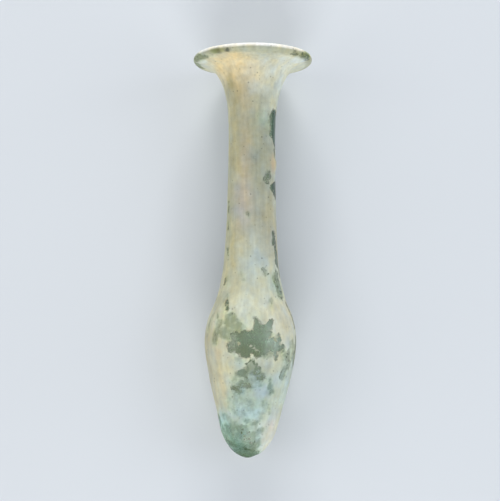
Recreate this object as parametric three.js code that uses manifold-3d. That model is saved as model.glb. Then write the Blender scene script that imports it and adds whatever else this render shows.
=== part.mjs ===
// A slender blown glass perfume flask with a spindle body, a long neck and a wide flat rim, lying on its side.
// Millimetres. The flask's axis runs along +Y with the mouth at +Y, and +Z is up.

import * as THREE from 'three';
import { mergeVertices } from 'three/addons/utils/BufferGeometryUtils.js';
import Module from 'manifold-3d';

// Driving sizes of the vessel. Heights are measured along its axis from the tip of the base.
const LENGTH = 121.5;
const BELLY_HEIGHT = 34.8;
const BELLY_RADIUS = 13.65;
const TIP_RADIUS = 7.6;
const TIP_HEIGHT = 6.6;
const NECK_RADIUS = 7.2;
const NECK_FOOT = 66;
const NECK_TOP = 103;
const RIM_RADIUS = 18;
const LIP_THICKNESS = 2.1;

// Wall thickness of the blown glass, and of the heavy drop of glass in the tip.
const WALL = 1.3;
const TIP_WALL = 3.2;
const TIP_WALL_REACH = 7;

// The flask was worked by hand: its tip and its mouth stand a little to either side of the belly's axis.
const TIP_DRIFT = -0.9;
const MOUTH_DRIFT = 0.7;

// Small flat spots where it lies, so that it doesn't roll.
const BELLY_FLAT_DEPTH = 0.15;
const RIM_FLAT_DEPTH = 0.2;

const SEGMENTS = 48;
const ROWS_PER_STATION = 3;
const LIP_ROWS = 7;

// The places that the outer wall passes through, from the tip to the underside of the lip: [height, radius].
// The first is the third one mirrored across the axis, so that the curve crosses the tip level and rounds it.
function outerStations() {
  const lipUnderside = LENGTH - LIP_THICKNESS;
  const lipCentre = RIM_RADIUS - LIP_THICKNESS / 2;
  return [
    [0.14 * TIP_HEIGHT, -0.37 * TIP_RADIUS],
    [0, 0],
    [0.14 * TIP_HEIGHT, 0.37 * TIP_RADIUS],
    [0.38 * TIP_HEIGHT, 0.66 * TIP_RADIUS],
    [TIP_HEIGHT, TIP_RADIUS],
    [0.44 * BELLY_HEIGHT, 0.73 * BELLY_RADIUS],
    [0.72 * BELLY_HEIGHT, 0.906 * BELLY_RADIUS],
    [BELLY_HEIGHT, BELLY_RADIUS],
    [1.18 * BELLY_HEIGHT, 0.93 * BELLY_RADIUS],
    [1.34 * BELLY_HEIGHT, 0.77 * BELLY_RADIUS],
    [1.54 * BELLY_HEIGHT, 0.64 * BELLY_RADIUS],
    [NECK_FOOT, 1.06 * NECK_RADIUS],
    [NECK_TOP, NECK_RADIUS],
    [NECK_TOP + 6.4, 1.12 * NECK_RADIUS],
    [NECK_TOP + 11.4, 1.36 * NECK_RADIUS],
    [NECK_TOP + 14.6, 0.72 * lipCentre],
    [lipUnderside, lipCentre],
  ].map(([height, radius]) => new THREE.Vector3(radius, height, 0));
}

// How thick the wall is at a height: heavy in the tip, even above it.
function wallAt(height) {
  return WALL + (TIP_WALL - WALL) * Math.exp(-((height / TIP_WALL_REACH) ** 2));
}

// The closed section of the vessel: up the outside, round the lip and down the inside, from axis to axis.
function section() {
  const curve = new THREE.CatmullRomCurve3(outerStations(), false, 'centripetal');
  const spans = curve.points.length - 1;
  const rows = (spans - 1) * ROWS_PER_STATION;
  const outside = [];
  const inside = [];
  for (let row = 0; row <= rows; row += 1) {
    const share = (1 + row / ROWS_PER_STATION) / spans;
    const place = curve.getPoint(share);
    const along = curve.getTangent(share);
    const wall = wallAt(place.y);
    outside.push(new THREE.Vector2(place.x, place.y));
    inside.push(new THREE.Vector2(place.x - along.y * wall, place.y + along.x * wall));
  }
  outside[0].set(0, 0);
  inside[0].set(0, TIP_WALL);

  // The lip is a half round between the two faces of the flare, so the inner face ends on the lip's top.
  const half = LIP_THICKNESS / 2;
  const centre = new THREE.Vector2(RIM_RADIUS - half, LENGTH - half);
  const lip = [];
  for (let row = 1; row < LIP_ROWS; row += 1) {
    const turn = -Math.PI / 2 + (Math.PI * row) / LIP_ROWS;
    lip.push(new THREE.Vector2(centre.x + half * Math.cos(turn), centre.y + half * Math.sin(turn)));
  }
  inside[rows].set(centre.x, LENGTH);
  return [...outside, ...lip, ...inside.reverse()];
}

// Sideways drift of the axis at a height.
function driftAt(height) {
  if (height < BELLY_HEIGHT) {
    return TIP_DRIFT * (1 - height / BELLY_HEIGHT) ** 2;
  }
  return (MOUTH_DRIFT * (height - BELLY_HEIGHT)) / (LENGTH - BELLY_HEIGHT);
}

// The angle that the axis makes with the ground when the belly and the rim both touch it.
function lyingAngle() {
  const run = LENGTH - LIP_THICKNESS / 2 - BELLY_HEIGHT;
  return Math.atan2(RIM_RADIUS - RIM_FLAT_DEPTH - (BELLY_RADIUS - BELLY_FLAT_DEPTH), run);
}

// A closed solid from a geometry: shared corners merged, and the empty triangles at the axis dropped.
function solidFrom(wasm, geometry) {
  const bare = geometry.clone();
  bare.deleteAttribute('normal');
  bare.deleteAttribute('uv');
  const merged = mergeVertices(bare, 1e-4);
  const corners = [];
  for (let i = 0; i < merged.index.count; i += 3) {
    const triangle = [0, 1, 2].map((k) => merged.index.getX(i + k));
    if (new Set(triangle).size === 3) {
      corners.push(...triangle);
    }
  }
  const mesh = new wasm.Mesh({
    numProp: 3,
    vertProperties: new Float32Array(merged.attributes.position.array),
    triVerts: new Uint32Array(corners),
  });
  return new wasm.Manifold(mesh);
}

function geometryFrom(solid) {
  const mesh = solid.getMesh();
  const geometry = new THREE.BufferGeometry();
  geometry.setAttribute('position', new THREE.BufferAttribute(mesh.vertProperties, mesh.numProp));
  geometry.setIndex(new THREE.BufferAttribute(mesh.triVerts, 1));
  return geometry;
}

// The whole flask as it lies, with its two flat spots on the ground at z = 0.
function flaskGeometry(wasm) {
  const vessel = new THREE.LatheGeometry(section(), SEGMENTS);
  const position = vessel.attributes.position;
  for (let i = 0; i < position.count; i += 1) {
    position.setX(i, position.getX(i) + driftAt(position.getY(i)));
  }
  const angle = lyingAngle();
  vessel.rotateX(angle);
  const bellyCentre = BELLY_HEIGHT * Math.sin(angle);
  vessel.translate(0, 0, (BELLY_RADIUS - BELLY_FLAT_DEPTH) / Math.cos(angle) - bellyCentre);

  const ground = new THREE.BoxGeometry(4 * RIM_RADIUS, 4 * LENGTH, RIM_RADIUS);
  ground.translate(0, 0, -RIM_RADIUS / 2);
  const lying = geometryFrom(solidFrom(wasm, vessel).subtract(solidFrom(wasm, ground)));
  lying.computeVertexNormals();
  lying.computeBoundingBox();
  return lying;
}

const wasm = await Module();
wasm.setup();

const glass = new THREE.MeshStandardMaterial({ color: 0xb9bfa6, roughness: 0.5, metalness: 0 });
const flask = new THREE.Mesh(flaskGeometry(wasm), glass);
flask.name = 'flask';

// The origin is under the middle of the flask's box.
const middle = flask.geometry.boundingBox.getCenter(new THREE.Vector3());
flask.position.set(-middle.x, -middle.y, 0);

const group = new THREE.Group();
group.add(flask);

export default group;
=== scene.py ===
import math
import random

import bpy
import numpy as np
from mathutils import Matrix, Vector, noise


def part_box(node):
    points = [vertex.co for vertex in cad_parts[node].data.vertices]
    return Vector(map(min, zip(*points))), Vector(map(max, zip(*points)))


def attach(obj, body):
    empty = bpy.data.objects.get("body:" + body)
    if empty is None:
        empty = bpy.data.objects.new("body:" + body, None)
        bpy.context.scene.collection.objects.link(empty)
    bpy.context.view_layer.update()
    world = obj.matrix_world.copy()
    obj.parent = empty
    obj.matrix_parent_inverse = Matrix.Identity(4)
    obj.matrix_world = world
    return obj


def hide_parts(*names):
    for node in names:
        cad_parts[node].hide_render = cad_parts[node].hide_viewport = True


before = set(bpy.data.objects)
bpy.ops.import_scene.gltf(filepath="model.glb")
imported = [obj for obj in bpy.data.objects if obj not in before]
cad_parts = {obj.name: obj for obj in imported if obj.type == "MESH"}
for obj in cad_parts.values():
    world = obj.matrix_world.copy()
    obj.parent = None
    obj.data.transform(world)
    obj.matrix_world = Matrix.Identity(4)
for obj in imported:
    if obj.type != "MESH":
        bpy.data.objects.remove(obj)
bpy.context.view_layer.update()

# The flask is one vessel of green glass, blown on a pipe and drawn out while it turned: a small heavy tip, a
# spindle body, a long neck and a wide rim, flared and rounded in the fire. Heights are in millimetres along
# its axis from the tip. It lies on its belly and its rim, so its axis rises a little towards the mouth.
MM = 0.001
LENGTH = 121.5
BELLY_HEIGHT = 34.8
BELLY_RADIUS = 13.65
TIP_RADIUS = 7.6
TIP_HEIGHT = 6.6
NECK_RADIUS = 7.2
NECK_FOOT = 66
NECK_TOP = 103
RIM_RADIUS = 18
LIP_THICKNESS = 2.1
WALL = 1.3
TIP_WALL = 3.2
TIP_WALL_REACH = 7
TIP_DRIFT = -0.9
MOUTH_DRIFT = 0.7
BELLY_FLAT_DEPTH = 0.15
RIM_FLAT_DEPTH = 0.2
UNEVENNESS = 0.09
SWELLS_AROUND = 1.1
SWELLS_PER_METRE = 90
POLE_REACH = 3
WELD = 0.002

COLUMNS = 160
OUTSIDE_STEP = 0.46
LIP_STEP = 0.3
INSIDE_STEP = 1.0
CURVE_STEPS = 40

# The dulled surface has clouds of green and olive. It is deep green in the tip, on the rim and along the
# right flank, pale where it is hazy, and buff in its pits. The glass's own depth has a colour and a density.
GLASS_GREEN = (0.58, 0.72, 0.53, 1)
GLASS_OLIVE = (0.48, 0.57, 0.35, 1)
GLASS_DEEP = (0.05, 0.16, 0.07, 1)
GLASS_HAZE = (0.75, 0.94, 0.79, 1)
GLASS_PIT = (0.80, 0.80, 0.64, 1)
GLASS_BODY = (0.20, 0.76, 0.46, 1)
GLASS_DENSITY = 150.0
GLASS_IOR = 1.5
GLASS_CLEARNESS = 0.68
GLASS_DULLNESS = (0.08, 0.30)
GLASS_CLOUDS = 210.0
GLASS_RELIEF = 0.06
HAZE_DRIFT = (1.3, 0.5)
PIT_SHARE = 0.4
PIT_DULLNESS = 0.3

# Where the surface is deep green, in millimetres, and in degrees to the right for the flank.
DEEP_TIP = 13
DEEP_TIP_FADE = 10
DEEP_TIP_SHARE = 0.62
DEEP_TIP_LESS_RIGHT = 0.25
DEEP_FLANK = (52, 104)
DEEP_FLANK_FADE = 8
DEEP_FLANK_HEIGHT = 62
DEEP_FLANK_BELOW = 0.25
DEEP_RIM = 4
DEEP_RIM_FADE = 2
DEEP_RIM_SHARE = 0.55

# Places where the bare glass is hazy, and a deeper one: height, turn to the right in degrees, half height,
# half width in millimetres, and how hazy or deep.
HAZED = {
    "top right of the belly window": (38.2, 19, 3.2, 3.6, 1.0),
    "right arm of the belly window": (33.4, 37, 3.8, 5.0, 1.0),
    "left fleck under the window": (23.5, -12, 5.0, 4.0, 0.3),
}
DEEPENED = {
    "middle of the belly window": (34.2, 4, 4.5, 4.0, 0.2),
}


def outer_stations():
    """Heights and radii that the outer wall passes through, the first one mirrored across the axis."""
    lip_centre = RIM_RADIUS - LIP_THICKNESS / 2
    return np.array([
        (0.14 * TIP_HEIGHT, -0.37 * TIP_RADIUS),
        (0, 0),
        (0.14 * TIP_HEIGHT, 0.37 * TIP_RADIUS),
        (0.38 * TIP_HEIGHT, 0.66 * TIP_RADIUS),
        (TIP_HEIGHT, TIP_RADIUS),
        (0.44 * BELLY_HEIGHT, 0.73 * BELLY_RADIUS),
        (0.72 * BELLY_HEIGHT, 0.906 * BELLY_RADIUS),
        (BELLY_HEIGHT, BELLY_RADIUS),
        (1.18 * BELLY_HEIGHT, 0.93 * BELLY_RADIUS),
        (1.34 * BELLY_HEIGHT, 0.77 * BELLY_RADIUS),
        (1.54 * BELLY_HEIGHT, 0.64 * BELLY_RADIUS),
        (NECK_FOOT, 1.06 * NECK_RADIUS),
        (NECK_TOP, NECK_RADIUS),
        (NECK_TOP + 6.4, 1.12 * NECK_RADIUS),
        (NECK_TOP + 11.4, 1.36 * NECK_RADIUS),
        (NECK_TOP + 14.6, 0.72 * lip_centre),
        (LENGTH - LIP_THICKNESS, lip_centre),
    ])


def smooth_through(stations):
    """A centripetal Catmull-Rom curve from the second station to the last."""
    ends = [2 * stations[0] - stations[1], 2 * stations[-1] - stations[-2]]
    points = np.vstack([ends[0], stations, ends[1]])
    share = np.linspace(0, 1, CURVE_STEPS, endpoint=False)[:, None]
    curve = []
    for k in range(2, len(points) - 2):
        before, start, end, after = points[k - 1:k + 3]
        gaps = [np.linalg.norm(b - a) ** 0.5 for a, b in ((before, start), (start, end), (end, after))]
        leave = (start - before) / gaps[0] - (end - before) / (gaps[0] + gaps[1]) + (end - start) / gaps[1]
        arrive = (end - start) / gaps[1] - (after - start) / (gaps[1] + gaps[2]) + (after - end) / gaps[2]
        leave = leave * gaps[1]
        arrive = arrive * gaps[1]
        square = -3 * start + 3 * end - 2 * leave - arrive
        cube = 2 * start - 2 * end + leave + arrive
        curve.append(start + leave * share + square * share ** 2 + cube * share ** 3)
    return np.vstack([*curve, stations[-1:]])


def evenly(points, step):
    """The same line with its points a steady step apart."""
    run = np.concatenate([[0], np.cumsum(np.linalg.norm(np.diff(points, axis=0), axis=1))])
    places = np.linspace(0, run[-1], max(2, round(run[-1] / step) + 1))
    return np.column_stack([np.interp(places, run, points[:, k]) for k in range(2)])


def drift_at(height):
    """How far the hand-made axis stands to the side at a height."""
    low = TIP_DRIFT * (1 - height / BELLY_HEIGHT) ** 2
    high = MOUTH_DRIFT * (height - BELLY_HEIGHT) / (LENGTH - BELLY_HEIGHT)
    return np.where(height < BELLY_HEIGHT, low, high)


outline = smooth_through(outer_stations())
along = np.gradient(outline, axis=0)
along /= np.linalg.norm(along, axis=1)[:, None]
wall = WALL + (TIP_WALL - WALL) * np.exp(-(outline[:, 0] / TIP_WALL_REACH) ** 2)
hollow = outline + np.column_stack([along[:, 1], -along[:, 0]]) * wall[:, None]
hollow[0] = (TIP_WALL, 0)
hollow[-1] = (LENGTH, RIM_RADIUS - LIP_THICKNESS / 2)
lip_turn = np.linspace(-math.pi / 2, math.pi / 2, CURVE_STEPS)
lip = np.column_stack([LENGTH + LIP_THICKNESS / 2 * (np.sin(lip_turn) - 1),
                       RIM_RADIUS + LIP_THICKNESS / 2 * (np.cos(lip_turn) - 1)])
outside = evenly(outline, OUTSIDE_STEP)
lip = evenly(lip, LIP_STEP)
inside = evenly(hollow[::-1], INSIDE_STEP)
section = np.vstack([outside, lip[1:-1], inside])
section[0, 1] = 0
section[-1, 1] = 0
# Distance along the section from the outermost line of the lip: minus on the outside, plus on the inside.
section_run = np.concatenate([[0], np.cumsum(np.linalg.norm(np.diff(section, axis=0), axis=1))])
section_run -= section_run[len(outside) + len(lip) // 2 - 1]

lying_angle = math.atan2(RIM_RADIUS - RIM_FLAT_DEPTH - (BELLY_RADIUS - BELLY_FLAT_DEPTH),
                         LENGTH - LIP_THICKNESS / 2 - BELLY_HEIGHT)
lift = (BELLY_RADIUS - BELLY_FLAT_DEPTH) / math.cos(lying_angle) - BELLY_HEIGHT * math.sin(lying_angle)


def new_tree(name, inputs):
    """A Geometry Nodes tree with named inputs, and its way in and out."""
    tree = bpy.data.node_groups.new(name, "GeometryNodeTree")
    tree.interface.new_socket("Geometry", in_out="INPUT", socket_type="NodeSocketGeometry")
    for label, kind in inputs.items():
        tree.interface.new_socket(label, in_out="INPUT", socket_type=kind)
    tree.interface.new_socket("Geometry", in_out="OUTPUT", socket_type="NodeSocketGeometry")
    return tree, tree.nodes.new("NodeGroupInput"), tree.nodes.new("NodeGroupOutput")


def math_node(tree, operation, *values):
    """A Math node in a tree, fed by sockets or numbers."""
    node = tree.nodes.new("ShaderNodeMath")
    node.operation = operation
    for socket, value in zip(node.inputs, values):
        if isinstance(value, bpy.types.NodeSocket):
            tree.links.new(value, socket)
        else:
            socket.default_value = value
    return node.outputs[0]


def placed_mesh(name, start_mesh, tree, values, material):
    """Runs a tree on a start mesh and returns the result as a plain mesh object."""
    holder = bpy.data.objects.new(name + "_start", start_mesh)
    bpy.context.collection.objects.link(holder)
    modifier = holder.modifiers.new(tree.name, "NODES")
    modifier.node_group = tree
    for item in tree.interface.items_tree:
        if item.in_out == "INPUT" and item.name in values:
            modifier[item.identifier] = values[item.name]
        elif item.in_out == "INPUT" and item.socket_type == "NodeSocketMaterial":
            modifier[item.identifier] = material
    ready = holder.evaluated_get(bpy.context.evaluated_depsgraph_get())
    piece = bpy.data.objects.new(name, bpy.data.meshes.new_from_object(ready))
    piece.data.name = name
    piece.data.materials.clear()
    piece.data.materials.append(material)
    bpy.data.objects.remove(holder)
    bpy.context.collection.objects.link(piece)
    return piece


def turned_vessel_tree():
    """Turns a section about its axis, a little unevenly, lays it down and presses its two flat spots."""
    tree, way_in, way_out = new_tree("turned_vessel", {
        "Rows": "NodeSocketInt", "Columns": "NodeSocketInt", "Unevenness": "NodeSocketFloat",
        "Seed": "NodeSocketFloat", "Lying angle": "NodeSocketFloat", "Lift": "NodeSocketFloat",
        "Glass": "NodeSocketMaterial"})
    links = tree.links
    grid = tree.nodes.new("GeometryNodeMeshGrid")
    columns = math_node(tree, "ADD", way_in.outputs["Columns"], 1)
    links.new(columns, grid.inputs["Vertices X"])
    links.new(way_in.outputs["Rows"], grid.inputs["Vertices Y"])
    index = tree.nodes.new("GeometryNodeInputIndex").outputs[0]
    row = math_node(tree, "MODULO", index, way_in.outputs["Rows"])
    column = math_node(tree, "FLOOR", math_node(tree, "DIVIDE", index, way_in.outputs["Rows"]))
    share = math_node(tree, "DIVIDE", column, way_in.outputs["Columns"])
    turn = math_node(tree, "MULTIPLY", share, math.tau)

    # The section's points hold radius, height and drift as x, y and z.
    place = tree.nodes.new("GeometryNodeInputPosition").outputs[0]
    pick = tree.nodes.new("GeometryNodeSampleIndex")
    pick.data_type = "FLOAT_VECTOR"
    links.new(way_in.outputs["Geometry"], pick.inputs["Geometry"])
    links.new(place, pick.inputs["Value"])
    links.new(row, pick.inputs["Index"])
    parts = tree.nodes.new("ShaderNodeSeparateXYZ")
    links.new(pick.outputs[0], parts.inputs[0])
    radius, height, drift = parts.outputs

    # Slow swells of the wall, faded out at the axis so that the two poles stay closed.
    swell = tree.nodes.new("ShaderNodeTexNoise")
    swell.noise_dimensions = "4D"
    swell.inputs["Scale"].default_value = 1
    swell.inputs["Detail"].default_value = 1
    spot = tree.nodes.new("ShaderNodeCombineXYZ")
    sine = math_node(tree, "SINE", turn)
    cosine = math_node(tree, "COSINE", turn)
    links.new(math_node(tree, "MULTIPLY", sine, SWELLS_AROUND), spot.inputs[0])
    links.new(math_node(tree, "MULTIPLY", height, SWELLS_PER_METRE), spot.inputs[1])
    links.new(math_node(tree, "MULTIPLY", cosine, SWELLS_AROUND), spot.inputs[2])
    links.new(spot.outputs[0], swell.inputs["Vector"])
    links.new(way_in.outputs["Seed"], swell.inputs["W"])
    level = math_node(tree, "MULTIPLY", math_node(tree, "SUBTRACT", swell.outputs[0], 0.5), 2)
    near_axis = math_node(tree, "MINIMUM", math_node(tree, "DIVIDE", radius, POLE_REACH * MM), 1)
    level = math_node(tree, "MULTIPLY", level, near_axis)
    swelling = math_node(tree, "MULTIPLY", level, way_in.outputs["Unevenness"])
    reach = math_node(tree, "ADD", radius, swelling)

    spread = tree.nodes.new("ShaderNodeCombineXYZ")
    sideways = math_node(tree, "MULTIPLY", reach, sine)
    links.new(math_node(tree, "ADD", sideways, drift), spread.inputs[0])
    links.new(height, spread.inputs[1])
    links.new(math_node(tree, "MULTIPLY", reach, cosine), spread.inputs[2])
    turned = tree.nodes.new("GeometryNodeSetPosition")
    links.new(grid.outputs["Mesh"], turned.inputs["Geometry"])
    links.new(spread.outputs[0], turned.inputs["Position"])

    keep = tree.nodes.new("GeometryNodeStoreNamedAttribute")
    keep.inputs["Name"].default_value = "section_row"
    links.new(turned.outputs[0], keep.inputs["Geometry"])
    links.new(row, keep.inputs["Value"])
    closed = tree.nodes.new("GeometryNodeMergeByDistance")
    closed.inputs["Distance"].default_value = WELD * MM
    links.new(keep.outputs[0], closed.inputs["Geometry"])

    laid = tree.nodes.new("GeometryNodeTransform")
    links.new(closed.outputs[0], laid.inputs["Geometry"])
    tilt = tree.nodes.new("ShaderNodeCombineXYZ")
    links.new(way_in.outputs["Lying angle"], tilt.inputs[0])
    links.new(tilt.outputs[0], laid.inputs["Rotation"])
    raise_by = tree.nodes.new("ShaderNodeCombineXYZ")
    links.new(way_in.outputs["Lift"], raise_by.inputs[2])
    links.new(raise_by.outputs[0], laid.inputs["Translation"])

    lying = tree.nodes.new("ShaderNodeSeparateXYZ")
    links.new(place, lying.inputs[0])
    on_ground = tree.nodes.new("ShaderNodeCombineXYZ")
    links.new(lying.outputs[0], on_ground.inputs[0])
    links.new(lying.outputs[1], on_ground.inputs[1])
    links.new(math_node(tree, "MAXIMUM", lying.outputs[2], 0), on_ground.inputs[2])
    pressed = tree.nodes.new("GeometryNodeSetPosition")
    links.new(laid.outputs[0], pressed.inputs["Geometry"])
    links.new(on_ground.outputs[0], pressed.inputs["Position"])

    smooth = tree.nodes.new("GeometryNodeSetShadeSmooth")
    links.new(pressed.outputs[0], smooth.inputs["Geometry"])
    real = tree.nodes.new("GeometryNodeRealizeInstances")
    links.new(smooth.outputs[0], real.inputs[0])
    finish = tree.nodes.new("GeometryNodeSetMaterial")
    links.new(real.outputs[0], finish.inputs["Geometry"])
    links.new(way_in.outputs["Glass"], finish.inputs["Material"])
    links.new(finish.outputs[0], way_out.inputs[0])
    return tree


def new_material(name):
    """A material, its node tree and its Principled shader."""
    material = bpy.data.materials.new(name)
    material.use_nodes = True
    nodes = material.node_tree.nodes
    return material, material.node_tree, nodes["Principled BSDF"]


def node_in(tree, kind, values=(), **settings):
    """A node in a tree, with its settings, and its inputs fed by sockets or plain values."""
    node = tree.nodes.new(kind)
    for label, value in settings.items():
        setattr(node, label, value)
    for label, value in dict(values).items():
        if isinstance(value, bpy.types.NodeSocket):
            tree.links.new(value, node.inputs[label])
        else:
            node.inputs[label].default_value = value
    return node


def ranged(tree, value, low, high, to_low=0.0, to_high=1.0):
    """A value whose range from low to high is moved to another range, and held within it."""
    node = node_in(tree, "ShaderNodeMapRange", {
        "Value": value, "From Min": low, "From Max": high, "To Min": to_low, "To Max": to_high})
    return node.outputs[0]


def effect_group(name, inputs, outputs):
    """An empty shader node group with named sockets."""
    group = bpy.data.node_groups.new(name, "ShaderNodeTree")
    for label, (kind, value) in inputs.items():
        socket = group.interface.new_socket(label, in_out="INPUT", socket_type="NodeSocket" + kind)
        if value is not None:
            socket.default_value = value
    for label in outputs:
        group.interface.new_socket(label, in_out="OUTPUT", socket_type="NodeSocketFloat")
    return group, group.nodes.new("NodeGroupInput"), group.nodes.new("NodeGroupOutput")


def drawn_streaks_group():
    """Fine streaks along the axis, left where the hot glass was drawn out."""
    group, way_in, way_out = effect_group(
        "drawn_streaks",
        {"Vector": ("Vector", None), "Across": ("Float", 900.0), "Lengthwise": ("Float", 40.0),
         "Detail": ("Float", 3.0)},
        ["Streaks"])
    stretch = node_in(group, "ShaderNodeCombineXYZ", {
        "X": way_in.outputs["Across"], "Y": way_in.outputs["Lengthwise"], "Z": way_in.outputs["Across"]})
    drawn = node_in(group, "ShaderNodeVectorMath", {0: way_in.outputs["Vector"], 1: stretch.outputs[0]},
                    operation="MULTIPLY")
    grain = node_in(group, "ShaderNodeTexNoise", {
        "Vector": drawn.outputs[0], "Scale": 1.0, "Detail": way_in.outputs["Detail"]})
    group.links.new(grain.outputs[0], way_out.inputs["Streaks"])
    return group


def pits_group():
    """Small round pits and grains: a mask of scattered dots, most of them left out at random."""
    group, way_in, way_out = effect_group(
        "pits",
        {"Vector": ("Vector", None), "Per metre": ("Float", 900.0), "Size": ("Float", 0.3),
         "Share": ("Float", 0.3)},
        ["Pits"])
    cells = node_in(group, "ShaderNodeTexVoronoi", {
        "Vector": way_in.outputs["Vector"], "Scale": way_in.outputs["Per metre"], "Randomness": 1.0})
    chance = node_in(group, "ShaderNodeSeparateColor", {"Color": cells.outputs["Color"]})
    chosen = math_node(group, "LESS_THAN", chance.outputs[0], way_in.outputs["Share"])
    own_size = math_node(group, "MULTIPLY", way_in.outputs["Size"],
                         math_node(group, "ADD", chance.outputs[1], 0.4))
    depth = math_node(group, "SUBTRACT", own_size, cells.outputs["Distance"])
    round_dot = ranged(group, depth, 0.0, 0.12)
    group.links.new(math_node(group, "MULTIPLY", round_dot, chosen), way_out.inputs["Pits"])
    return group


drawn_streaks = drawn_streaks_group()
pits = pits_group()


def use_group(tree, group, values):
    """An effect group placed in a material with its own values."""
    return node_in(tree, "ShaderNodeGroup", values, node_tree=group)


def green_glass():
    """Old green glass: see-through, deeper where it is thick, dulled, with drawn streaks and pits."""
    material, tree, shader = new_material("green_glass")
    spot = node_in(tree, "ShaderNodeTexCoord").outputs["Object"]
    streaks = use_group(tree, drawn_streaks, {"Vector": spot, "Across": 700.0, "Lengthwise": 60.0})
    holes = use_group(tree, pits, {"Vector": spot, "Per metre": 1300.0, "Size": 0.30, "Share": 0.08})
    clouds = node_in(tree, "ShaderNodeTexNoise", {
        "Vector": spot, "Scale": GLASS_CLOUDS, "Detail": 3.0}).outputs[0]
    olive = ranged(tree, clouds, 0.34, 0.64)
    colour = node_in(tree, "ShaderNodeMix", {"Factor": olive}, data_type="RGBA")
    colour.inputs["A"].default_value = GLASS_GREEN
    colour.inputs["B"].default_value = GLASS_OLIVE
    deep = node_in(tree, "ShaderNodeAttribute", attribute_name="deep_glass")
    deeper = node_in(tree, "ShaderNodeMix", {
        "Factor": deep.outputs["Fac"], "A": colour.outputs["Result"]}, data_type="RGBA")
    deeper.inputs["B"].default_value = GLASS_DEEP
    haze = node_in(tree, "ShaderNodeAttribute", attribute_name="hazy_glass")
    drifts = ranged(tree, clouds, 0.35, 0.65, *HAZE_DRIFT)
    hazy = node_in(tree, "ShaderNodeMix", {
        "Factor": math_node(tree, "MULTIPLY", haze.outputs["Fac"], drifts),
        "A": deeper.outputs["Result"]}, data_type="RGBA")
    hazy.inputs["B"].default_value = GLASS_HAZE
    spotted = node_in(tree, "ShaderNodeMix", {
        "Factor": math_node(tree, "MULTIPLY", holes.outputs[0], PIT_SHARE), "A": hazy.outputs["Result"]},
        data_type="RGBA")
    spotted.inputs["B"].default_value = GLASS_PIT
    tree.links.new(spotted.outputs["Result"], shader.inputs["Base Color"])
    dull = ranged(tree, clouds, 0.3, 0.7, *GLASS_DULLNESS)
    rough = math_node(tree, "ADD", dull, math_node(tree, "MULTIPLY", holes.outputs[0], PIT_DULLNESS))
    tree.links.new(rough, shader.inputs["Roughness"])
    ridges = math_node(tree, "MULTIPLY", streaks.outputs[0], 0.5)
    relief = math_node(tree, "SUBTRACT", ridges, holes.outputs[0])
    bump = node_in(tree, "ShaderNodeBump", {"Height": relief, "Strength": 0.5, "Distance": GLASS_RELIEF * MM})
    tree.links.new(bump.outputs[0], shader.inputs["Normal"])
    shader.inputs["Transmission Weight"].default_value = GLASS_CLEARNESS
    shader.inputs["IOR"].default_value = GLASS_IOR
    body = node_in(tree, "ShaderNodeVolumeAbsorption", {"Color": GLASS_BODY, "Density": GLASS_DENSITY})
    tree.links.new(body.outputs[0], tree.nodes["Material Output"].inputs["Volume"])
    return material


section_mesh = bpy.data.meshes.new("flask_section")
section_points = np.column_stack([section[:, 1], section[:, 0], drift_at(section[:, 0])]) * MM
section_mesh.from_pydata(section_points.tolist(), [(k, k + 1) for k in range(len(section) - 1)], [])
glass_wall = placed_mesh("flask_glass", section_mesh, turned_vessel_tree(), {
    "Rows": len(section), "Columns": COLUMNS, "Unevenness": UNEVENNESS * MM, "Seed": 4.0,
    "Lying angle": lying_angle, "Lift": lift * MM}, green_glass())


def points_of(mesh):
    """A mesh's points as an array."""
    flat = np.empty(len(mesh.vertices) * 3, np.float32)
    mesh.vertices.foreach_get("co", flat)
    return flat.reshape(-1, 3).astype(float)


# The flask's box has its middle where the frame's own flask has it.
wall_points = points_of(glass_wall.data)
cad_low, cad_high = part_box("flask")
middle = (wall_points.min(0) + wall_points.max(0)) / 2
to_frame = np.array([(low + high) / 2 for low, high in zip(cad_low, cad_high)]) - middle
to_frame[2] = 0
wall_points += to_frame
glass_wall.data.vertices.foreach_set("co", wall_points.astype(np.float32).ravel())
glass_wall.data.update()

# Where each point lies: along the section, out from the axis, up it, and in degrees to the right of the top.
rows = np.empty(len(wall_points), np.float32)
glass_wall.data.attributes["section_row"].data.foreach_get("value", rows)
run = np.interp(rows, np.arange(len(section)), section_run)
radius = np.interp(rows, np.arange(len(section)), section[:, 1])
height = np.interp(rows, np.arange(len(section)), section[:, 0])
across = wall_points[:, 0] - to_frame[0] - drift_at(height) * MM
upwards = ((wall_points[:, 2] - lift * MM) * math.cos(lying_angle)
           - (wall_points[:, 1] - to_frame[1]) * math.sin(lying_angle))
turns = np.degrees(np.arctan2(across, upwards))


def keep_values(piece, label, kind, values):
    """Stores a value or a colour at each point of a piece, for its material."""
    layer = piece.data.attributes.new(label, kind, "POINT")
    if kind == "FLOAT":
        layer.data.foreach_set("value", values.astype(np.float32))
    else:
        with_alpha = np.column_stack([values, np.ones(len(values))])
        layer.data.foreach_set("color", with_alpha.astype(np.float32).ravel())


def soft_spots(marks):
    """How far each point lies within soft spots, from 0 to a spot's own share at its middle."""
    value = np.zeros(len(wall_points))
    for mark_height, mark_turn, half_height, half_width, share in marks.values():
        up = (height - mark_height) / half_height
        side = np.radians(turns - mark_turn) * radius / half_width
        value = np.maximum(value, share * np.exp(-(up ** 2 + side ** 2)))
    return value


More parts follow.
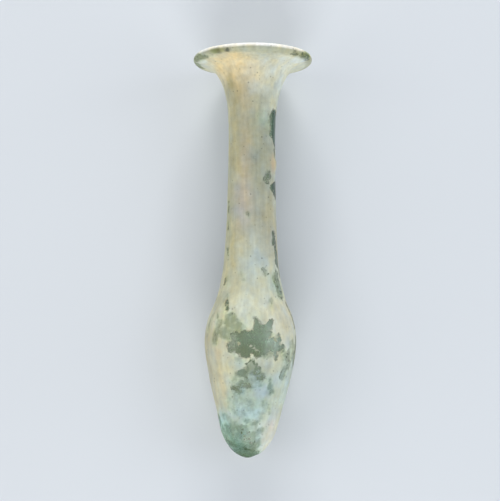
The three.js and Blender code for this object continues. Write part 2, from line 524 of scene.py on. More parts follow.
in_tip = np.clip((DEEP_TIP - height) / DEEP_TIP_FADE, 0, 1)
in_tip *= DEEP_TIP_SHARE - DEEP_TIP_LESS_RIGHT * np.sin(np.radians(turns))
on_flank = np.clip((turns - DEEP_FLANK[0]) / DEEP_FLANK_FADE, 0, 1)
on_flank *= np.clip((DEEP_FLANK[1] - turns) / DEEP_FLANK_FADE, 0, 1)
above = np.clip((height - DEEP_FLANK_HEIGHT) / DEEP_FLANK_FADE, 0, 1)
on_flank *= DEEP_FLANK_BELOW + (1 - DEEP_FLANK_BELOW) * above
on_rim = DEEP_RIM_SHARE * np.clip((DEEP_RIM - np.abs(run)) / DEEP_RIM_FADE, 0, 1)
deep = np.max([in_tip, on_flank, on_rim, soft_spots(DEEPENED)], axis=0)
keep_values(glass_wall, "deep_glass", "FLOAT", deep)
keep_values(glass_wall, "hazy_glass", "FLOAT", soft_spots(HAZED))
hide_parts("flask")
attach(glass_wall, "root")


# The weathering crust is the flask's own outer glass, decayed in the ground to a thin, opaque cream skin
# that has flaked off in patches. It covers the outside, the lip and the funnel of the mouth, and in places it
# is thin enough for the green to show through.
CRUST_BED = 0.012
CRUST_THIN = 0.04
CRUST_THICK = 0.16
CRUST_MARGIN = 0.6
CRUST_RELIEF = 0.10
MOUTH_REACH = 12.0
MOUTH_RAGGEDNESS = 2
RUBBED_BARE = 0.3

# The places where it has flaked away are tapered strokes, each between two spots. A spot is its height, its
# turn in degrees to the right, and its radius in millimetres.
FLAKED = {
    "belly window": ((32.9, -22, 2.1), (33.3, 8, 3.5)),
    "belly window top left": ((35.3, -19, 1.7), (35.2, -4, 2.1)),
    "belly window top": ((35.3, -8, 2.0), (35.2, 10, 2.4)),
    "belly window right part": ((32.9, 8, 3.3), (33.0, 27, 2.0)),
    "belly window notch": ((37.9, 10, 1.7), (37.3, 19, 1.5)),
    "belly window below the notch": ((36.4, 9, 1.8), (36.2, 19, 1.8)),
    "belly window foot": ((31.1, -7, 1.6), (30.8, 5, 1.7)),
    "belly window right arm": ((32.5, 26, 1.4), (32.5, 44, 1.0)),
    "belly window right foot": ((31.7, 32, 1.0), (28.8, 34, 0.5)),
    "belly window right peak": ((33.6, 37, 0.9), (36.4, 37, 0.35)),
    "belly window spike": ((38.0, 11, 1.4), (41.4, 6, 0.4)),
    "belly window right spike": ((36.9, 18, 1.4), (40.0, 29, 0.7)),
    "lower left fleck": ((25.0, -15, 0.9), (25.3, -6, 1.1)),
    "lower left tail": ((25.0, -6, 0.8), (23.0, -5, 0.5)),
    "second left fleck": ((21.8, -12, 0.9), (21.4, -3, 0.8)),
    "second low fleck": ((20.9, -26, 0.7), (20.1, -15, 0.8)),
    "tip left edge": ((6.4, -90, 0.9), (2.4, -82, 2.0)),
    "neck strip": ((101.8, 67, 2.5), (98.2, 68, 2.4)),
    "neck strip edge": ((101.8, 92, 2.6), (95.8, 90, 2.2)),
    "neck strip low": ((97.2, 65, 2.2), (95.0, 79, 1.8)),
    "neck slit": ((92.2, 70, 0.45), (90.6, 73, 0.4)),
    "neck wedge": ((81.6, 80, 1.2), (80.3, 59, 0.9)),
    "neck wedge low": ((80.6, 70, 1.7), (77.6, 76, 0.5)),
    "neck low strip": ((66.6, 60, 0.7), (64.4, 60, 1.2)),
    "neck foot strip": ((62.4, 67, 0.9), (58.0, 70, 1.4)),
    "neck foot tail": ((57.5, 72, 0.6), (54.2, 79, 0.45)),
    "shoulder slit high": ((45.2, 75, 0.6), (43.5, 76, 0.5)),
    "shoulder slit low": ((42.2, 80, 0.5), (38.7, 79, 0.55)),
    "left shoulder speck": ((52.6, -60, 0.45), (51.6, -58, 0.45)),
    "left shoulder streak": ((45.9, -41, 0.45), (43.6, -36, 0.5)),
}

# Flaked places on the rim, where the first number is the distance in from the lip's outermost line.
RIM_FLAKED = {
    "left dark speck": ((1.1, -26.5, 0.45), (1.1, -25.5, 0.45)),
}

# Islands of crust left standing inside the large flaked patch.
ISLANDS = {
    "left island": ((33.6, -14, 0.22), (33.4, -13, 0.22)),
    "middle island": ((32.7, 3, 0.24), (32.6, 4, 0.24)),
    "lower island": ((31.5, 9, 0.22), (31.7, 7, 0.22)),
    "foot island": ((30.2, 1, 0.4), (29.2, 3, 0.6)),
}

# Places full of small flakes, and places where only a thin skin of the crust is left. The last number is the
# share that has gone.
SPECKLED = {
    "lower middle": ((27.0, 1, 1.3), (24.1, 16, 1.1), 0.58),
    "lower middle top": ((29.0, 1, 0.6), (27.0, 2, 0.9), 0.5),
    "right flank high": ((31.0, 55, 0.8), (29.4, 57, 0.9), 0.42),
    "right flank": ((28.2, 63, 0.6), (26.6, 62, 0.7), 0.34),
    "right flank low": ((25.8, 52, 0.7), (23.4, 48, 0.8), 0.34),
    "right belly edge": ((35.0, 78, 1.0), (28.0, 80, 1.0), 0.34),
    "tip middle": ((8.4, -12, 1.4), (4.4, -4, 2.4), 0.42),
    "neck mottle": ((82.8, 34, 0.9), (84.4, 44, 1.1), 0.55),
    "neck mottle low": ((81.6, 38, 0.4), (81.2, 44, 0.4), 0.5),
    "shoulder": ((54.5, 60, 1.3), (48.1, 60, 1.5), 0.45),
    "shoulder fleck": ((55.3, 25, 0.6), (53.9, 30, 0.7), 0.5),
}
VEILED = {
    "left lobe": ((40.4, -28, 2.4), (38.0, -15, 2.1), 0.76),
    "left lobe low": ((36.8, -34, 2.0), (36.0, -17, 2.2), 0.76),
    "far left": ((39.6, -44, 1.5), (34.7, -50, 1.7), 0.66),
    "right of the window": ((35.5, 25, 1.4), (35.0, 34, 1.2), 0.45),
    "under the window": ((31.0, 12, 1.5), (30.4, 24, 1.4), 0.65),
    "under the window left": ((30.6, -24, 0.9), (28.2, -10, 1.1), 0.35),
    "beside the right foot": ((31.0, 44, 1.2), (29.6, 50, 1.2), 0.6),
    "low middle": ((22.0, -14, 3.5), (23.5, 10, 3.0), 0.45),
    "low body": ((16.0, -22, 3.5), (14.0, 20, 3.5), 0.35),
    "second right": ((23.0, 28, 0.9), (19.6, 34, 1.0), 0.75),
    "shoulder fleck left": ((54.5, -20, 0.8), (52.6, -14, 0.7), 0.4),
    "shoulder right": ((46.4, 33, 0.7), (43.6, 31, 0.6), 0.5),
    "left shoulder": ((48.0, -45, 1.0), (43.0, -38, 1.2), 0.36),
    "right flank": ((32.0, 60, 1.3), (24.0, 52, 1.5), 0.4),
    "right flank edge": ((33.4, 64, 1.6), (30.4, 72, 2.2), 0.5),
    "shoulder right edge": ((53.0, 54, 1.8), (49.0, 64, 2.0), 0.6),
    "shoulder left edge": ((53.5, -52, 1.2), (51.0, -50, 1.2), 0.35),
    "far left edge": ((41.5, -66, 1.4), (37.5, -68, 1.6), 0.4),
    "left speck high": ((76.3, -68, 0.7), (73.2, -68, 0.6), 0.75),
    "left speck": ((69.9, -68, 0.7), (68.4, -66, 0.6), 0.75),
    "left speck low": ((61.9, -62, 0.7), (60.2, -61, 0.6), 0.75),
    "left belly speck": ((42.2, -50, 0.6), (41.2, -49, 0.6), 0.7),
    "middle speck": ((72.4, -9, 0.7), (71.5, -8, 0.6), 0.75),
    "tip": ((6.8, -40, 4.4), (5.0, 2, 3.8), 0.72),
    "tip end": ((0.6, -20, 4.4), (0.8, 14, 3.6), 0.95),
    "tip left": ((12.2, -80, 1.4), (7.0, -72, 3.2), 0.7),
    "tip left high": ((12.4, -52, 1.2), (11.0, -40, 1.4), 0.42),
    "tip high": ((11.4, -8, 1.0), (10.2, 12, 1.1), 0.7),
    "tip middle": ((9.4, -6, 1.1), (8.8, 8, 1.1), 0.6),
    "tip right": ((7.6, 14, 1.3), (8.6, 28, 0.9), 0.62),
    "tip low right": ((3.7, 8, 1.4), (5.4, 24, 1.1), 0.6),
    "neck haze": ((102.3, 26, 2.0), (98.0, 44, 1.6), 0.25),
}
RIM_SPECKLED = {
    "right end": ((1.0, 56, 0.8), (1.1, 72, 1.0), 0.4),
    "right small spot": ((1.2, 43, 0.6), (1.5, 48, 0.6), 0.45),
}
RIM_VEILED = {
    "left end": ((1.7, -56, 1.2), (0.3, -77, 1.5), 1.0),
    "left end tip": ((1.6, -88, 1.4), (2.0, -104, 1.8), 0.8),
    "left of the moss": ((1.5, -54, 0.9), (1.2, -40, 0.9), 0.2),
}

# Chips that have come loose and stand up from the wall. The last number is how high they stand.
RAISED = {
    "chip beside the neck strip": ((89.0, 80, 0.9), (87.2, 78, 0.8), 0.35),
    "chip under the rim": ((116.4, 62, 0.7), (116.2, 66, 0.6), 0.30),
}

# The side that lies below has flakes of the same kind, scattered at random between two heights and two turns.
HIDDEN_FLAKES = 30
HIDDEN_SEED = 11
HIDDEN_HEIGHTS = (4, LENGTH - 8)
HIDDEN_TURNS = (105, 255)
HIDDEN_SIZES = (0.5, 2.4)
HIDDEN_RISE = 4
HIDDEN_SWING = 30
HIDDEN_SHARES = (1, 1, 0.75, 0.6)

# How ragged the edges are, in millimetres, and how the crust fades out at a veil, a raised chip and an edge.
EDGE_WANDER = 0.6
EDGE_TEETH = 0.3
CHIP_RAGGEDNESS = 0.8
SPECKLE_VEIL = 0.4
VEIL_FADE = 1.2
VEIL_MOTTLE = 0.15
VEIL_FINE = 0.3
RAISED_FADE = 0.8
EDGE_FADE = 0.8
EDGE_LEFT = 0.4
DEEP_INSIDE = 3.0

# The crust's share of its full thickness, with its coarse and fine unevenness, and the least share.
USUAL_SHARE = 0.65
MOTTLE_SHARE = 0.3
FINE_SHARE = 0.2
LEAST_SHARE = 0.5

# The lip's shaded outer band and a painted highlight along its top, in millimetres along the section.
# The painted highlight is palest where the top faces up, and fades past a turn in degrees.
LIP_BAND_START = 0.05
LIP_BAND_END = 2.9
LIP_BAND_FADE = 1.4
LIP_BAND_WANDER = 0.5
LIP_BAND_THINNER = 0.1
LIP_FADE = 0.4
LIP_HIGHLIGHT_MIDDLE = 1.15
LIP_HIGHLIGHT_HALF = 1.25
LIP_HIGHLIGHT_TURN = 80
LIP_HIGHLIGHT_TURN_FADE = 30
LIP_HIGHLIGHT_PAST = 0.2
LIP_HIGHLIGHT_SHARE = 0.8
LIP_HIGHLIGHT_MOTTLE = 0.7


def run_at(height):
    """Distance along the section at a height on the outside."""
    return np.interp(height, outside[:, 0], section_run[:len(outside)])


def hidden_flakes():
    """Flaked places on the hidden side, drawn from a fixed seed: two spots and the share that has gone."""
    draw = random.Random(HIDDEN_SEED)
    strokes = []
    for _ in range(HIDDEN_FLAKES):
        height = draw.uniform(*HIDDEN_HEIGHTS)
        turn = draw.uniform(*HIDDEN_TURNS)
        size = draw.uniform(*HIDDEN_SIZES)
        start = (height, turn, size)
        end = (height + draw.uniform(-HIDDEN_RISE, HIDDEN_RISE),
               turn + draw.uniform(-HIDDEN_SWING, HIDDEN_SWING), size * draw.uniform(0.3, 1))
        strokes.append((start, end, draw.choice(HIDDEN_SHARES)))
    return strokes


def on_wall(spot):
    """A spot with its height made a distance along the section."""
    return (float(run_at(spot[0])), *spot[1:])


def on_lip(spot):
    """A spot on the rim with its distance in from the edge made a distance along the section."""
    return (-spot[0], *spot[1:])


def rough_noise(points, per_metre, seed, octaves=3):
    """Noise between about -1 and 1 at each point."""
    shift = Vector((seed, 0.37 * seed, -0.61 * seed))
    return np.array([noise.fractal(Vector(p) * per_metre + shift, 0.9, 2.1, octaves) for p in points])


warp_up = rough_noise(wall_points, per_metre=430, seed=3)
warp_side = rough_noise(wall_points, per_metre=480, seed=21)
warp_edge = rough_noise(wall_points, per_metre=1000, seed=8)


def beyond_stroke(start, end):
    """How far in millimetres each point lies outside a tapered stroke between two spots on the section."""
    up = run - start[0] + EDGE_WANDER * warp_up
    side = np.radians((turns - start[1] + 180) % 360 - 180) * radius + EDGE_WANDER * warp_side
    up_step = end[0] - start[0]
    side_step = np.radians(end[1] - start[1]) * radius
    share = np.clip((up * up_step + side * side_step) / (up_step ** 2 + side_step ** 2 + 1e-9), 0, 1)
    width = start[2] + share * (end[2] - start[2])
    return np.hypot(up - share * up_step, side - share * side_step) - width + EDGE_TEETH * warp_edge


# How far each point is inside the crust, in millimetres: minus where it has flaked away. A speckled place is
# near zero, so that the ragged edge of the material breaks it up.
strokes = [(on_wall(start), on_wall(end), 1) for start, end in FLAKED.values()]
strokes += [(on_lip(start), on_lip(end), 1) for start, end in RIM_FLAKED.values()]
strokes += [(on_wall(start), on_wall(end), share) for start, end, share in SPECKLED.values()]
strokes += [(on_lip(start), on_lip(end), share) for start, end, share in RIM_SPECKLED.values()]
strokes += [(on_wall(start), on_wall(end), share) for start, end, share in hidden_flakes()]
depth = np.full(len(wall_points), DEEP_INSIDE)
for start, end, share in strokes:
    floor_depth = -DEEP_INSIDE if share == 1 else (0.5 - share) * CHIP_RAGGEDNESS
    depth = np.minimum(depth, np.maximum(beyond_stroke(start, end), floor_depth))
for start, end in ISLANDS.values():
    depth = np.maximum(depth, -beyond_stroke(on_wall(start), on_wall(end)))

# The flat spots are rubbed bare, and the crust ends raggedly inside the funnel.
depth = np.minimum(depth, wall_points[:, 2] / MM - RUBBED_BARE)
depth = np.minimum(depth, MOUTH_REACH + MOUTH_RAGGEDNESS * warp_up - run)

# The share of the crust's thickness that is left at each point, apart from the flakes.
mottle = rough_noise(wall_points, per_metre=210, seed=40, octaves=4)
fine_mottle = rough_noise(wall_points, per_metre=800, seed=55)
veils = [(on_wall(start), on_wall(end), share) for start, end, share in VEILED.values()]
veils += [(on_lip(start), on_lip(end), share) for start, end, share in RIM_VEILED.values()]
veils += [(start, end, SPECKLE_VEIL) for start, end, share in strokes if share < 1]
veil = np.ones(len(wall_points))
for start, end, share in veils:
    inside_it = np.clip(0.5 - beyond_stroke(start, end) / VEIL_FADE, 0, 1)
    veil = np.minimum(veil, 1 - (share + VEIL_FINE * fine_mottle + VEIL_MOTTLE * mottle) * inside_it)
lip_band = np.clip((-LIP_BAND_START - run) / LIP_FADE, 0, 1)
lip_band *= np.clip((LIP_BAND_END + run + LIP_BAND_WANDER * mottle) / LIP_BAND_FADE, 0, 1)
# A painted highlight along the top of the lip, palest where it faces up.
lip_highlight = np.clip((LIP_HIGHLIGHT_HALF - np.abs(run - LIP_HIGHLIGHT_MIDDLE)) / LIP_FADE, 0, 1)
lip_highlight *= np.clip((LIP_HIGHLIGHT_TURN - np.abs(turns)) / LIP_HIGHLIGHT_TURN_FADE, LIP_HIGHLIGHT_PAST, 1)
lip_highlight *= np.clip(LIP_HIGHLIGHT_SHARE + LIP_HIGHLIGHT_MOTTLE * mottle, 0, 1)
veil = np.clip(np.minimum(veil, 1 - LIP_BAND_THINNER * lip_band), 0, 1)
thickness = USUAL_SHARE + MOTTLE_SHARE * mottle + FINE_SHARE * fine_mottle
thickness = np.clip(thickness, LEAST_SHARE, 1) * veil
thickness *= np.clip(depth / EDGE_FADE + EDGE_LEFT, 0, 1)
stand_off = np.zeros(len(wall_points))
for start, end, rise in RAISED.values():
    inside_it = np.clip(0.5 - beyond_stroke(on_wall(start), on_wall(end)) / RAISED_FADE, 0, 1)
    stand_off = np.maximum(stand_off, rise * inside_it)

# Its colour, which wavers between cool and warm, and its tints, stains and some painted shade: height, turn,
# half height, half width in millimetres, colour, strength.
CREAM = (0.70, 0.71, 0.55)
CRUST_COOL = (0.95, 1.005, 1.12, 1)
CRUST_WARM = (1.045, 0.985, 0.84, 1)
TINTS = {
    "warm flare": (116, -36, 5, 6, (0.91, 0.72, 0.39), 4.8),
    "shaded flare left": (113.2, -38, 2.8, 3.0, (0.46, 0.41, 0.25), 3.6),
    "cream flare": (116, -4, 4, 5, (0.76, 0.68, 0.47), 2.4),
    "buff under the flare": (109.4, -22, 4.2, 3.2, (0.47, 0.39, 0.22), 4.6),
    # Painted shade at the left edge of the neck, under the flare.
    "painted shade under the flare on the left edge": (110.6, -56, 3.4, 2.4, (0.34, 0.36, 0.26), 3.0),
    "pale under the flare": (109.8, 8, 3.4, 3.2, (0.82, 0.84, 0.76), 2.2),
    "white flare right": (115, 40, 6, 6, (0.82, 0.85, 0.76), 1.8),
    "grey upper neck": (106, 35, 8, 5, (0.72, 0.75, 0.59), 2.6),
    "green haze on the neck": (101, 30, 2.4, 2.2, (0.40, 0.50, 0.36), 3.0),
    "yellow neck left": (88, -50, 26, 4, (0.52, 0.49, 0.28), 3.2),
    "rosy streak": (86, -16, 14, 1.8, (0.62, 0.48, 0.31), 3.0),
    "grey neck": (90, 14, 24, 5, (0.34, 0.37, 0.28), 4.0),
    "lilac neck": (76, -24, 6, 3.0, (0.54, 0.51, 0.58), 3.0),
    "grey neck low": (70, 20, 8, 8, (0.44, 0.43, 0.33), 2.6),
    # Painted shade along the left edge of the lower neck.
    "painted shade on the low neck's left edge": (71, -56, 8, 2.4, (0.34, 0.40, 0.30), 2.4),
    "blue white shoulder": (58, -2, 8, 4.5, (0.50, 0.60, 0.58), 3.0),
    "yellow shoulder left": (58, -50, 9, 5, (0.53, 0.49, 0.27), 3.0),
    "grey shoulder left": (46, -60, 3, 2, (0.40, 0.42, 0.28), 3.0),
    "aqua shoulder right": (51, 50, 3.5, 2.4, (0.42, 0.54, 0.47), 2.6),
    "cream belly": (45, 5, 6, 10, (0.62, 0.65, 0.50), 2.8),
    "cool above the window": (40.2, 3, 3.0, 3.0, (0.54, 0.66, 0.59), 2.2),
    "rosy belly right": (43, 48, 5, 6, (0.66, 0.64, 0.50), 2.4),
    "yellow belly left": (28, -72, 14, 6, (0.50, 0.48, 0.33), 3.2),
    "pale belly left": (27, -38, 8, 4, (0.66, 0.66, 0.47), 2.4),
    "aqua body": (17, -6, 9, 6, (0.42, 0.59, 0.55), 3.2),
    "blue body": (21.2, 15, 4.8, 4.2, (0.31, 0.38, 0.40), 3.8),
    "blue white low": (13.4, 0, 2.0, 5, (0.48, 0.64, 0.71), 2.4),
    "pale right body": (20, 60, 9, 6, (0.55, 0.69, 0.64), 2.4),
    "cream tip right": (8, 55, 5, 4, (0.76, 0.70, 0.56), 2.4),
    "pale tip": (8, 28, 4, 4, (0.64, 0.76, 0.74), 3.4),
    "mint tip left": (9.6, -66, 3.2, 3, (0.50, 0.80, 0.74), 3.4),
    "olive tip high": (10.2, -14, 1.2, 2.0, (0.44, 0.54, 0.38), 2.0),
    "pale spot on the tip": (5.0, 9, 1.6, 1.8, (0.70, 0.82, 0.74), 3.0),
    "green tip": (4, -40, 5, 6, (0.22, 0.43, 0.40), 2.8),
    "dark tip end": (0.5, 0, 2.6, 5, (0.10, 0.19, 0.10), 9.0),
    "dark tip left": (3.4, -36, 1.8, 2.4, (0.12, 0.24, 0.15), 5.0),
    # An olive smudge by the neck's left edge under the flare, made darker with painted shade.
    "olive smudge high, deepened by painted shade": (112.4, -49, 1.6, 1.4, (0.26, 0.25, 0.11), 8.0),
    "olive smudge": (107.4, -40, 1.6, 0.9, (0.44, 0.42, 0.26), 4.0),
    "brown streak": (77.4, -31, 2.2, 0.6, (0.40, 0.36, 0.22), 3.0),
    "brown streak low": (69.2, -30, 2.0, 0.7, (0.46, 0.38, 0.20), 3.2),
    "buff spot": (88.0, 62, 2.0, 1.2, (0.76, 0.56, 0.30), 4.0),
    "orange fleck left": (30.5, -46, 1.6, 1.2, (0.80, 0.62, 0.32), 2.4),
    "orange streak left": (22.0, -44, 4.0, 1.0, (0.80, 0.66, 0.38), 2.0),
    "rosy fleck at the tip": (9.6, 50, 1.6, 1.0, (0.86, 0.62, 0.48), 2.4),
}

# Stains on the rim, where the first number is the distance in from the lip's outermost line.
RIM_TINTS = {
    "olive moss": (1.1, -37.5, 0.8, 1.8, (0.15, 0.19, 0.02), 13.0),
    "brown core of the moss": (1.2, -35, 0.7, 0.6, (0.08, 0.07, 0.01), 12.0),
    "dark speck": (1.1, -26, 0.5, 0.4, (0.04, 0.05, 0.04), 14.0),
    "moss on the right": (1.0, 64, 1.3, 2.8, (0.29, 0.35, 0.06), 7.0),
    "pale left end": (2.6, -74, 1.0, 2.4, (0.74, 0.80, 0.72), 5.0),
    "pale beside the moss": (2.0, -46, 0.9, 1.6, (0.84, 0.88, 0.68), 4.0),
    "pale right underside": (2.8, 63, 1.0, 2.8, (0.90, 0.96, 0.94), 4.0),
}
LIP_TINT = (0.43, 0.44, 0.31)
LIP_STRENGTH = 3.0
# The colour of the painted highlight along the lip's top.
LIP_HIGHLIGHT_TINT = (0.90, 0.88, 0.82)
LIP_HIGHLIGHT_STRENGTH = 9.0

# How far the edge of a tint wanders up and sideways, and from which half width on it wanders fully.
TINT_WANDER_UP = 2.0
TINT_WANDER_SIDE = 1.2
TINT_WANDERS_FROM = 3
TINTS_END = 3

# How the crust's colour, gloss and cover vary over it.
MOTTLE_SHADE = 0.12
FUNNEL_START = 2
FUNNEL_FADE = 3
FUNNEL_DARKER = 0.35
SKIN_DARKER = (0.20, 0.08, 0.20)
BLOTCH_SHADE = (0.86, 1.09)
STREAK_SHADE = (0.90, 1.06)
CRUST_DULLNESS = (0.42, 0.68)
CRUST_COVER = (0.12, 0.97)
UNDER_LAYER_COVER = 0.42
CHIP_SHAKE = 0.8

tint = np.tile(np.array(CREAM), (len(wall_points), 1))
weight = np.ones(len(wall_points))
for part, colour, strength in ((lip_band, LIP_TINT, LIP_STRENGTH), (lip_highlight, LIP_HIGHLIGHT_TINT, LIP_HIGHLIGHT_STRENGTH)):
    tint += strength * part[:, None] * np.array(colour)
    weight += strength * part
stains_and_painted_shade = [(*on_wall(mark[:1]), *mark[1:]) for mark in TINTS.values()]
stains_and_painted_shade += [(*on_lip(mark[:1]), *mark[1:]) for mark in RIM_TINTS.values()]
for tint_run, tint_turn, half_run, half_width, colour, strength in stains_and_painted_shade:
    slack = min(1, half_width / TINT_WANDERS_FROM)
    up = (run + TINT_WANDER_UP * slack * mottle - tint_run) / half_run
    side = np.radians((turns - tint_turn + 180) % 360 - 180) * radius
    side = (side + TINT_WANDER_SIDE * slack * warp_side) / half_width
    share = strength * np.exp(-(up ** 2 + side ** 2)) * (run < TINTS_END)
    tint += share[:, None] * np.array(colour)
    weight += share
tint /= weight[:, None]

# It is clouded, darker inside the funnel, and greener where only a skin is left on the glass.
tint *= 1 + MOTTLE_SHADE * mottle[:, None]
tint *= 1 - FUNNEL_DARKER * np.clip((run - FUNNEL_START) / FUNNEL_FADE, 0, 1)[:, None]
tint *= 1 - (1 - veil[:, None]) * np.array(SKIN_DARKER)


def surface_normals(mesh):
    """A mesh's smooth normals as an array."""
    flat = np.empty(len(mesh.vertices) * 3, np.float32)
    mesh.vertex_normals.foreach_get("vector", flat)
    return flat.reshape(-1, 3).astype(float)


def skin_over(name, mesh, chosen, bed, top):
    """A closed thin skin over the chosen faces of a mesh, from a bed to a top above each of its points."""
    points = points_of(mesh)
    normals = surface_normals(mesh)
    faces = [tuple(face.vertices) for face in mesh.polygons if chosen[face.index]]
    used = np.unique(np.concatenate([np.array(face) for face in faces]))
    place = {int(old): new for new, old in enumerate(used)}
    count = len(used)
    low = points[used] + normals[used] * bed * MM
    high = points[used] + normals[used] * top[used][:, None] * MM
    both = np.vstack([high, low])
    both[:, 2] = np.maximum(both[:, 2], 0)
    upper = [tuple(place[k] for k in face) for face in faces]
    lower = [tuple(k + count for k in reversed(face)) for face in upper]
    sides = set()
    for face in upper:
        for start, end in zip(face, face[1:] + face[:1]):
            if (end, start) in sides:
                sides.remove((end, start))
            else:
                sides.add((start, end))
    walls = [(end, start, start + count, end + count) for start, end in sorted(sides)]
    skin_mesh = bpy.data.meshes.new(name)
    skin_mesh.from_pydata(both.tolist(), [], upper + lower + walls)
    skin_mesh.shade_smooth()
    piece = bpy.data.objects.new(name, skin_mesh)
    bpy.context.collection.objects.link(piece)
    return piece, used


def crust_material():
    """The crust: chalky, stained and pitted, with painted shade and a painted highlight, gone beyond its
    broken edges, and a veil where it is thin.
    """
    material, tree, shader = new_material("weathering_crust")
    spot = node_in(tree, "ShaderNodeTexCoord").outputs["Object"]
    inside = node_in(tree, "ShaderNodeAttribute", attribute_name="inside_crust").outputs["Fac"]
    layer = node_in(tree, "ShaderNodeAttribute", attribute_name="crust_layer").outputs["Fac"]
    stain_and_painted_light = node_in(tree, "ShaderNodeAttribute", attribute_name="stain_and_painted_light").outputs["Color"]
    streaks = use_group(tree, drawn_streaks, {"Vector": spot, "Across": 1100.0, "Lengthwise": 70.0})
    holes = use_group(tree, pits, {"Vector": spot, "Per metre": 1500.0, "Size": 0.34, "Share": 0.07})
    grain = node_in(tree, "ShaderNodeTexNoise", {"Vector": spot, "Scale": 2600.0, "Detail": 4.0})
    blotch = node_in(tree, "ShaderNodeTexNoise", {
        "Vector": spot, "Scale": 420.0, "Detail": 6.0, "Roughness": 0.65}).outputs[0]

    # The edge breaks along small chips, and a few chips beside it have lost only their upper layer.
    shake = node_in(tree, "ShaderNodeTexNoise", {"Vector": spot, "Scale": 1100.0, "Detail": 2.0})
    shaken = node_in(tree, "ShaderNodeVectorMath", {
        0: shake.outputs["Color"], 1: (CHIP_SHAKE * MM,) * 3, 2: spot}, operation="MULTIPLY_ADD")
    chips = node_in(tree, "ShaderNodeTexVoronoi", {"Vector": shaken.outputs[0], "Scale": 1300.0})
    chance = node_in(tree, "ShaderNodeSeparateColor", {"Color": chips.outputs["Color"]})
    own = math_node(tree, "SUBTRACT", chance.outputs[0], 0.5)
    cut = math_node(tree, "ADD", inside, math_node(tree, "MULTIPLY", own, CHIP_RAGGEDNESS))
    solid = ranged(tree, cut, -0.08, 0.08)
    lower_cut = math_node(tree, "ADD", cut, math_node(tree, "MULTIPLY", chance.outputs[1], 0.6))
    lower = ranged(tree, lower_cut, 0.05, 0.25, 0.0, UNDER_LAYER_COVER)
    swing = math_node(tree, "MULTIPLY", math_node(tree, "SUBTRACT", blotch, 0.5), 0.6)
    cover = ranged(tree, math_node(tree, "ADD", layer, swing), 0.0, 0.45, *CRUST_COVER)
    upper = math_node(tree, "MULTIPLY", solid, cover)
    tree.links.new(math_node(tree, "MAXIMUM", upper, lower), shader.inputs["Alpha"])

    shade = ranged(tree, blotch, 0.3, 0.7, *BLOTCH_SHADE)
    line = ranged(tree, streaks.outputs[0], 0.3, 0.7, *STREAK_SHADE)
    level = math_node(tree, "MULTIPLY", shade, line)
    unpitted = math_node(tree, "SUBTRACT", 1.0, math_node(tree, "MULTIPLY", holes.outputs[0], PIT_SHARE))
    level = math_node(tree, "MULTIPLY", level, unpitted)
    shaded = node_in(tree, "ShaderNodeVectorMath", {0: stain_and_painted_light, 1: level}, operation="MULTIPLY")

    # The colour itself wavers too, between warm and cool, in patches drawn out along the axis.
    patches = use_group(tree, drawn_streaks, {
        "Vector": spot, "Across": 320.0, "Lengthwise": 150.0, "Detail": 1.6})
    flecks = node_in(tree, "ShaderNodeTexNoise", {"Vector": spot, "Scale": 600.0, "Detail": 1.0})
    wavering = math_node(tree, "ADD", math_node(tree, "MULTIPLY", patches.outputs[0], 0.75),
                         math_node(tree, "MULTIPLY", flecks.outputs[0], 0.25))
    hue = node_in(tree, "ShaderNodeMix", {"Factor": ranged(tree, wavering, 0.32, 0.68)}, data_type="RGBA")
    hue.inputs["A"].default_value = CRUST_COOL
    hue.inputs["B"].default_value = CRUST_WARM
    colour = node_in(tree, "ShaderNodeVectorMath", {0: shaded.outputs[0], 1: hue.outputs["Result"]},
                     operation="MULTIPLY")
    tree.links.new(colour.outputs[0], shader.inputs["Base Color"])
    tree.links.new(ranged(tree, blotch, 0.3, 0.7, *CRUST_DULLNESS), shader.inputs["Roughness"])
    height_map = math_node(tree, "ADD", blotch, math_node(tree, "MULTIPLY", grain.outputs[0], 0.4))
    height_map = math_node(tree, "SUBTRACT", height_map, math_node(tree, "MULTIPLY", holes.outputs[0], 0.6))
    height_map = math_node(tree, "ADD", height_map, math_node(tree, "MULTIPLY", solid, 0.5))
    bump = node_in(tree, "ShaderNodeBump", {
        "Height": height_map, "Strength": 0.6, "Distance": CRUST_RELIEF * MM})
    tree.links.new(bump.outputs[0], shader.inputs["Normal"])
    return material


top = CRUST_THIN + (CRUST_THICK - CRUST_THIN) * thickness + stand_off
face_depth = np.array([depth[list(face.vertices)].max() for face in glass_wall.data.polygons])
crusted = face_depth > -CRUST_MARGIN
crust, crust_points = skin_over("weathering_crust", glass_wall.data, crusted, CRUST_BED, top)
# The colour kept at each point holds stains, painted shade and the lip's painted highlight.
for label, kind, values in (("inside_crust", "FLOAT", depth), ("crust_layer", "FLOAT", thickness),
                            ("stain_and_painted_light", "FLOAT_COLOR", tint)):
    picked = values[crust_points]
    keep_values(crust, label, kind, np.concatenate([picked, picked]))
crust.data.materials.append(crust_material())
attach(crust, "root")


# The floor is plain and pale, and the light is a soft studio light: a low panel beyond the mouth that catches
# the lip, a high one beyond the tip, and two weaker ones at the sides. A panel is its place, its size in
# metres, its watts and its colour.
FLOOR_SIZE = 30.0
FLOOR_COLOUR = (0.66, 0.70, 0.75, 1)
FLOOR_PALER = 1.04
FLOOR_DULLNESS = 0.7
SKY_COLOUR = (0.90, 0.94, 1.0, 1)
SKY_STRENGTH = 0.32
PANELS = {
    "panel_beyond_mouth": ((0.0, 0.8, 0.22), 0.4, 6.2, (1.0, 0.99, 0.97)),
    "panel_beyond_tip": ((0.0, -0.7, 0.5), 0.6, 4.4, (1.0, 0.99, 0.96)),
    "panel_left": ((-0.7, -0.1, 0.5), 0.6, 1.8, (1.0, 0.97, 0.92)),
    "panel_right": ((0.75, 0.0, 0.5), 0.6, 1.9, (0.94, 0.97, 1.0)),
}
PANELS_AIM = (0, 0, 0.015)


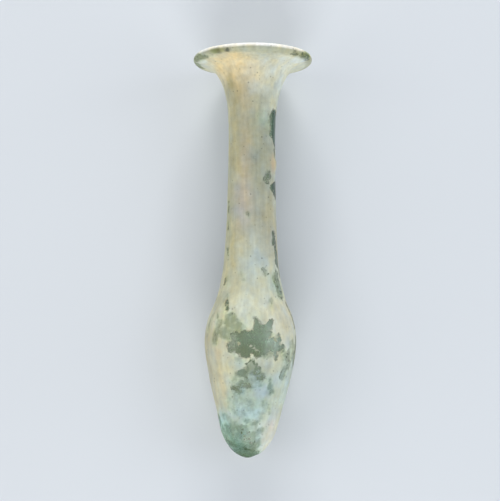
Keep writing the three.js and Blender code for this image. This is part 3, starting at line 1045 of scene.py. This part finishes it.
def floor_material():
    """Plain pale paper with a faint unevenness."""
    material, tree, shader = new_material("pale_floor")
    spot = node_in(tree, "ShaderNodeTexCoord").outputs["Object"]
    cloud = node_in(tree, "ShaderNodeTexNoise", {"Vector": spot, "Scale": 8.0, "Detail": 3.0})
    colour = node_in(tree, "ShaderNodeMix", {"Factor": cloud.outputs[0]}, data_type="RGBA")
    colour.inputs["A"].default_value = FLOOR_COLOUR
    colour.inputs["B"].default_value = [FLOOR_PALER * part for part in FLOOR_COLOUR[:3]] + [1]
    tree.links.new(colour.outputs["Result"], shader.inputs["Base Color"])
    shader.inputs["Roughness"].default_value = FLOOR_DULLNESS
    return material


floor_mesh = bpy.data.meshes.new("floor")
edge = FLOOR_SIZE / 2
corners = [(-edge, -edge, 0), (edge, -edge, 0), (edge, edge, 0), (-edge, edge, 0)]
floor_mesh.from_pydata(corners, [], [(0, 1, 2, 3)])
floor_mesh.materials.append(floor_material())
floor = bpy.data.objects.new("floor", floor_mesh)
bpy.context.collection.objects.link(floor)

for name, (place, size, watts, colour) in PANELS.items():
    light = bpy.data.lights.new(name, "AREA")
    light.size = size
    light.energy = watts
    light.color = colour
    panel = bpy.data.objects.new(name, light)
    bpy.context.collection.objects.link(panel)
    panel.location = place
    panel.rotation_euler = (Vector(PANELS_AIM) - Vector(place)).to_track_quat("-Z", "Y").to_euler()

world = bpy.data.worlds.new("studio")
bpy.context.scene.world = world
world.use_nodes = True
sky = world.node_tree.nodes["Background"]
sky.inputs["Color"].default_value = SKY_COLOUR
sky.inputs["Strength"].default_value = SKY_STRENGTH
bpy.context.scene.view_settings.view_transform = "Standard"


# The camera looks down on the lying flask as the photograph's camera looks at it upright: level with its
# lower body, about 40 cm away, and turned up a little towards the mouth.
EYE_HEIGHT = 23
EYE_DISTANCE = 397
EYE_TURN = math.radians(5.6)
EYE_RIGHT = -0.14
FOCAL_PIXELS = 1320
LONG_SIDE_PIXELS = 501
SENSOR = 36
NEAREST_SEEN = 0.01

axis = Vector((0, math.cos(lying_angle), math.sin(lying_angle)))
front = Vector((0, -math.sin(lying_angle), math.cos(lying_angle)))
tip = Vector((to_frame[0], to_frame[1], lift * MM))
camera = bpy.data.objects.new("camera", bpy.data.cameras.new("camera"))
bpy.context.collection.objects.link(camera)
camera.data.sensor_width = SENSOR
camera.data.lens = FOCAL_PIXELS / LONG_SIDE_PIXELS * SENSOR
camera.data.clip_start = NEAREST_SEEN
camera.location = tip + (axis * EYE_HEIGHT + front * EYE_DISTANCE + Vector((EYE_RIGHT, 0, 0))) * MM
look = axis * math.sin(EYE_TURN) - front * math.cos(EYE_TURN)
camera.rotation_euler = look.to_track_quat("-Z", "Y").to_euler()
bpy.context.scene.camera = camera
